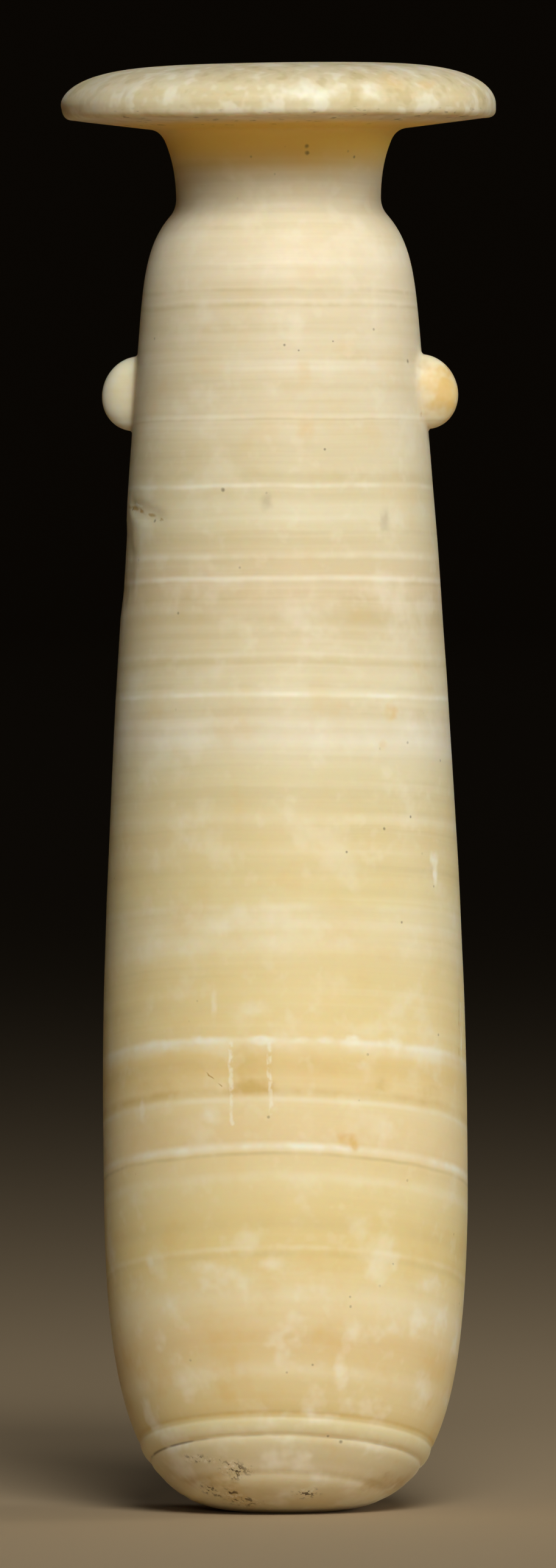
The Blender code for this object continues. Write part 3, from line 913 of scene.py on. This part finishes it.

    # a dark line along the groove, stronger on the left; dirt in dashes along the rim's lower edge, in pits
    # and as fine specks
    speckNoise, dirtAndGroovePatch = noisy("specks"), noisy("dirtAndGroovePatch")
    groovePatch = both(scaled(step(x, "grooveLeft"), 0.75, 0.25), step(dirtAndGroovePatch, "grooveLineBreaks"))
    groove = useGroup(tree, lineGroup, layer=exactLayer, height=ledges["grooveH"] - finish["grooveLineDrop"],
                      reach=finish["grooveLineReach"], patch=groovePatch, strength=0.6)["mask"]
    dashes = useGroup(tree, stripeGroup, place=place, along=finish["dashAlong"], across=finish["dashAcross"])
    edgeDirt = both(step(z, "edgeLow"), step(z, "edgeHigh"), step(dashes["value"], "dashes"),
                    step(dirtAndGroovePatch, "dashPatch"))
    pitMask = either(*[spotMask(tree, spotGroup, place, centre, size, roughFine) for centre, size in pits])
    specks = tree.nodes.new("ShaderNodeTexVoronoi")
    feed(tree, specks.inputs["Vector"], place)
    specks.inputs["Scale"].default_value = finish["speckScale"]
    speckMask = both(step(specks.outputs["Distance"], "speckSize"), step(dirtAndGroovePatch, "speckPatch"))
    clusters = either(*[spotMask(tree, spotGroup, place, centre, size, roughBroad)
                        for centre, size in baseClusters])
    basePits = both(clusters, step(speckNoise, "basePits"))
    colour = overlay(colour, both(clusters, step(speckNoise, "crumbs"), outside), "white", 0.6)
    dirtAndGrooveLine = either(groove, both(edgeDirt, 0.62), both(pitMask, 0.6), both(speckMask, 0.4),
                  both(basePits, 0.85))
    colour = overlay(colour, dirtAndGrooveLine, "dirtAndGrooveLine")
    colour = overlay(colour, inside, "inner", 0.5)

    feed(tree, shader.inputs["Base Color"], colour)
    gloss = scaled(maths(tree, "SUBTRACT", noisy("gloss"), 0.5), stone["glossUnevenness"], stone["roughness"])
    gloss = added(gloss, both(dirtAndGrooveLine, finish["dirtAndGrooveRoughness"]))
    gloss = added(gloss, both(inside, finish["innerRoughness"]), clamp=True)
    feed(tree, shader.inputs["Roughness"], gloss)
    for label, value in stone["surface"].items():
        shader.inputs[label].default_value = value

    bump = tree.nodes.new("ShaderNodeBump")
    bump.inputs["Strength"].default_value = finish["bumpStrength"]
    bump.inputs["Distance"].default_value = stone["bumpDepth"]
    grain = both(noisy("grain"), finish["grain"])
    relief = maths(tree, "SUBTRACT", grain, both(groove, finish["grooveBump"]))
    feed(tree, bump.inputs["Height"], relief)
    feed(tree, shader.inputs["Normal"], bump.outputs["Normal"])
    return material


stoneVessel.data.materials.clear()
stoneVessel.data.materials.append(makeStone())
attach(stoneVessel, "root")
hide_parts("vessel")
print("stone finish: done")


# The studio: a pale floor that curves up far behind, soft light, and the camera

studio = {                                              # metres
    "floorRadius": 17.0, "curveRadius": 3.0, "wallTop": 6.0, "steps": 96,
    "floorTone": (166, 144, 110), "floorRoughness": 0.85,
    "lampSpread": 38.0, "lampAim": 0.13,                # like gridded softboxes, at the flask's middle
    "worldTone": (0.86, 0.84, 0.80), "worldStrength": 0.01,
}
lamps = {                                               # turned towards +X; the fill is for the rim's shade
    "key": {"turn": 18.0, "rise": 34.0, "away": 2.4, "size": 1.20, "power": 3.68},
    "side": {"turn": 103.0, "rise": 14.0, "away": 2.2, "size": 1.1, "power": 0.80},
    "fill": {"turn": 16.0, "rise": 5.0, "away": 2.4, "size": 0.30, "power": 0.33},
}
view = {                                                # fitted to the photograph's outline
    "turn": 9.5, "away": 3.5, "height": 0.190, "roll": 0.398,
    "sideways": -0.00084, "aim": 0.13015, "lens": 448.9, "sensor": 36.0,
    "nearest": 0.05, "farthest": 60.0,
}


def makeFloor():
    radius, curve = studio["floorRadius"], studio["curveRadius"]
    points = [(0.0, 0.0), (radius / 2, 0.0), (radius, 0.0)]
    for turn in spread(0.0, math.pi / 2, 12)[1:]:
        points.append((radius + curve * math.sin(turn), curve * (1.0 - math.cos(turn))))
    points.append((points[-1][0], studio["wallTop"]))
    piece = turnProfile("studioFloor", [(r / mm, z / mm) for r, z in points], studio["steps"])
    pickOnly(piece)
    bpy.ops.object.shade_smooth()
    material = bpy.data.materials.new("paleFloor")
    material.use_nodes = True
    shader = material.node_tree.nodes["Principled BSDF"]
    shader.inputs["Base Color"].default_value = toLinear(studio["floorTone"])
    shader.inputs["Roughness"].default_value = studio["floorRoughness"]
    piece.data.materials.clear()
    piece.data.materials.append(material)


def facingFrom(place, target):
    return (target - place).to_track_quat("-Z", "Y").to_matrix()


def makeLight(name, given):
    turn, rise = math.radians(given["turn"]), math.radians(given["rise"])
    target = Vector((0.0, 0.0, studio["lampAim"]))
    facing = Vector((math.cos(rise) * math.sin(turn), -math.cos(rise) * math.cos(turn), math.sin(rise)))
    clearSelection()
    bpy.ops.object.light_add(type="AREA", location=target + given["away"] * facing)
    lamp = bpy.context.object
    lamp.name = name + "Light"
    lamp.data.shape = "DISK"
    lamp.data.size = given["size"]
    lamp.data.energy = given["power"]
    lamp.data.spread = math.radians(studio["lampSpread"])
    lamp.visible_camera = False                         # so that no view is blocked by a light
    lamp.rotation_euler = facingFrom(lamp.location, target).to_euler()


def makeCamera():
    clearSelection()
    turn = math.radians(view["turn"])
    place = Vector((view["away"] * math.sin(turn), -view["away"] * math.cos(turn), view["height"]))
    target = Vector((view["sideways"] * math.cos(turn), view["sideways"] * math.sin(turn), view["aim"]))
    bpy.ops.object.camera_add(location=place)
    camera = bpy.context.object
    camera.name = "photoCamera"
    roll = Matrix.Rotation(math.radians(-view["roll"]), 3, "Z")
    camera.rotation_euler = (facingFrom(place, target) @ roll).to_euler()
    camera.data.sensor_fit = "AUTO"
    camera.data.sensor_width = view["sensor"]
    camera.data.lens = view["lens"]
    camera.data.clip_start = view["nearest"]
    camera.data.clip_end = view["farthest"]
    bpy.context.scene.camera = camera


def makeWorld():
    world = bpy.data.worlds.new("studioAir")
    bpy.context.scene.world = world
    world.use_nodes = True
    sky = world.node_tree.nodes["Background"]
    sky.inputs["Color"].default_value = studio["worldTone"] + (1.0,)
    sky.inputs["Strength"].default_value = studio["worldStrength"]


makeFloor()
for lampName, lampValues in lamps.items():
    makeLight(lampName, lampValues)
makeWorld()
makeCamera()
bpy.context.scene.view_settings.view_transform = "Standard"
print("studio: done")

clearSelection()
